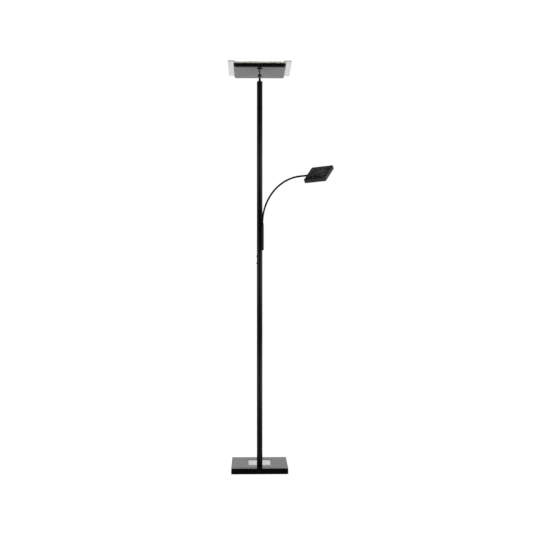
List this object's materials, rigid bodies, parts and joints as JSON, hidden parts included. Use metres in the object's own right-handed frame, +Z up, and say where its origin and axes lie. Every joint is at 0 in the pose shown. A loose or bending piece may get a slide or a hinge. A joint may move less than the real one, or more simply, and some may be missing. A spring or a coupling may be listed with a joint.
{
  "type": "torchiere floor lamp",
  "caption": "Floor uplighter with a square weighted base, slim pole, tilting glass-topped head, flexible-neck reading light and push-button dimmers.",
  "frame": {"origin": "on the floor, under the middle of the square base", "axes": "+Z up, -Y towards the user in front of the lamp, +X to the user's right"},
  "size_m": [0.4565, 0.4493, 1.812],
  "materials": {
    "foam": "closed-cell foam",
    "zinc_steel": "bright zinc plate",
    "iron": "primed casting",
    "black_lacquer": "satin black lacquer on steel",
    "brushed_steel": "satin brushed",
    "black_plastic": "moulded",
    "cable": "extruded sheath",
    "circuit_board": "white solder mask",
    "black_screw": "black oxide",
    "button_plastic": "satin moulded",
    "black_nickel": "black nickel plate",
    "nickel": "satin nickel plate",
    "driver_case": "moulded",
    "aluminium": "mill finish",
    "led_phosphor": "phosphor gel",
    "silicone": "clear silicone",
    "glass": "float glass, satin in the middle",
    "neck_black": "black coated steel winding",
    "diffuser": "opal acrylic"
  },
  "bodies": {
    "stand": {"floor_pad": "foam", "floor_plate": "zinc_steel", "ballast_slab": "iron", "base_cover": "black_lacquer", "base_inlay": "brushed_steel", "base_screws": "zinc_steel", "cord_grommet": "black_plastic", "base_lead": "cable", "foot_nipple": "zinc_steel", "foot_nut": "zinc_steel", "foot_washer": "zinc_steel", "foot_insert": "zinc_steel", "lower_tube": "black_lacquer", "middle_tube": "black_lacquer", "upper_tube": "black_lacquer", "joint_spigots": "zinc_steel", "joint_sockets": "zinc_steel", "pole_cap": "black_lacquer", "lower_lead": "cable", "upper_lead": "cable", "dimmer_carrier": "black_plastic", "dimmer_board": "circuit_board", "dimmer_switches": "black_plastic", "dimmer_screw": "black_screw", "knuckle_fork": "black_nickel", "pivot_screw": "nickel", "pivot_nut": "nickel", "friction_washers": "cable", "arm_sleeve": "black_lacquer", "sleeve_saddles": "black_lacquer"},
    "lamp_head": {"knuckle_eye": "black_nickel", "flange_screws": "nickel", "head_housing": "black_lacquer", "mount_backplate": "zinc_steel", "led_driver": "driver_case", "spacer_posts": "aluminium", "heat_plate": "aluminium", "led_board": "circuit_board", "led_chips": "led_phosphor", "board_screws": "zinc_steel", "glass_pads": "silicone", "glass_plate": "glass"},
    "upper_button": {"upper_button": "button_plastic"},
    "lower_button": {"lower_button": "button_plastic"},
    "neck_root": {"neck_ferrule": "zinc_steel"},
    "neck_1": {"neck_link_1": "neck_black"},
    "neck_2": {"neck_link_2": "neck_black"},
    "neck_3": {"neck_link_3": "neck_black"},
    "neck_4": {"neck_link_4": "neck_black"},
    "neck_5": {"neck_link_5": "neck_black"},
    "neck_6": {"neck_link_6": "neck_black", "neck_tip": "neck_black", "reader_clip": "zinc_steel"},
    "reader": {"reader_bush": "black_plastic", "reader_shell": "black_lacquer", "reader_heat_plate": "aluminium", "reader_board": "circuit_board", "reader_chips": "led_phosphor", "reader_screws": "zinc_steel", "reader_diffuser": "diffuser"}
  },
  "joints": [
    {"name": "head_tilt", "type": "hinge", "parent": "stand", "child": "lamp_head", "pos_m": [0, -0.083, 1.758], "axis": [1, 0, 0], "range_deg": [-80, 80]},
    {"name": "upper_press", "type": "slide", "parent": "stand", "child": "upper_button", "axis": [1, 0, 0], "range_m": [0, 0.0006], "stiffness_N_per_m": 900},
    {"name": "lower_press", "type": "slide", "parent": "stand", "child": "lower_button", "axis": [1, 0, 0], "range_m": [0, 0.0006], "stiffness_N_per_m": 900},
    {"name": "arm_swing", "type": "hinge", "parent": "stand", "child": "neck_root", "pos_m": [0.01221, -0.09755, 1.103], "axis": [0, 0, 1], "range_deg": [-75, 75]},
    {"name": "neck_bend_1", "type": "hinge", "parent": "neck_root", "child": "neck_1", "pos_m": [0.01221, -0.09755, 1.103], "axis": [0.5299, 0.848, 0], "range_deg": [-4, 15]},
    {"name": "neck_bend_2", "type": "hinge", "parent": "neck_1", "child": "neck_2", "pos_m": [0.01759, -0.10092, 1.15246], "axis": [0.5299, 0.848, 0], "range_deg": [-8, 15]},
    {"name": "neck_bend_3", "type": "hinge", "parent": "neck_2", "child": "neck_3", "pos_m": [0.03338, -0.11078, 1.19872], "axis": [0.5299, 0.848, 0], "range_deg": [-8, 15]},
    {"name": "neck_bend_4", "type": "hinge", "parent": "neck_3", "child": "neck_4", "pos_m": [0.05856, -0.12652, 1.23878], "axis": [0.5299, 0.848, 0], "range_deg": [-8, 15]},
    {"name": "neck_bend_5", "type": "hinge", "parent": "neck_4", "child": "neck_5", "pos_m": [0.0915, -0.1471, 1.27006], "axis": [0.5299, 0.848, 0], "range_deg": [-8, 15]},
    {"name": "neck_bend_6", "type": "hinge", "parent": "neck_5", "child": "neck_6", "pos_m": [0.13006, -0.1712, 1.29052], "axis": [0.5299, 0.848, 0], "range_deg": [-8, 15]},
    {"name": "reader_turn", "type": "hinge", "parent": "neck_6", "child": "reader", "pos_m": [0.20735, -0.21949, 1.30053], "axis": [0.8474, -0.5295, 0.0401], "range_deg": [-90, 90]}
  ]
}
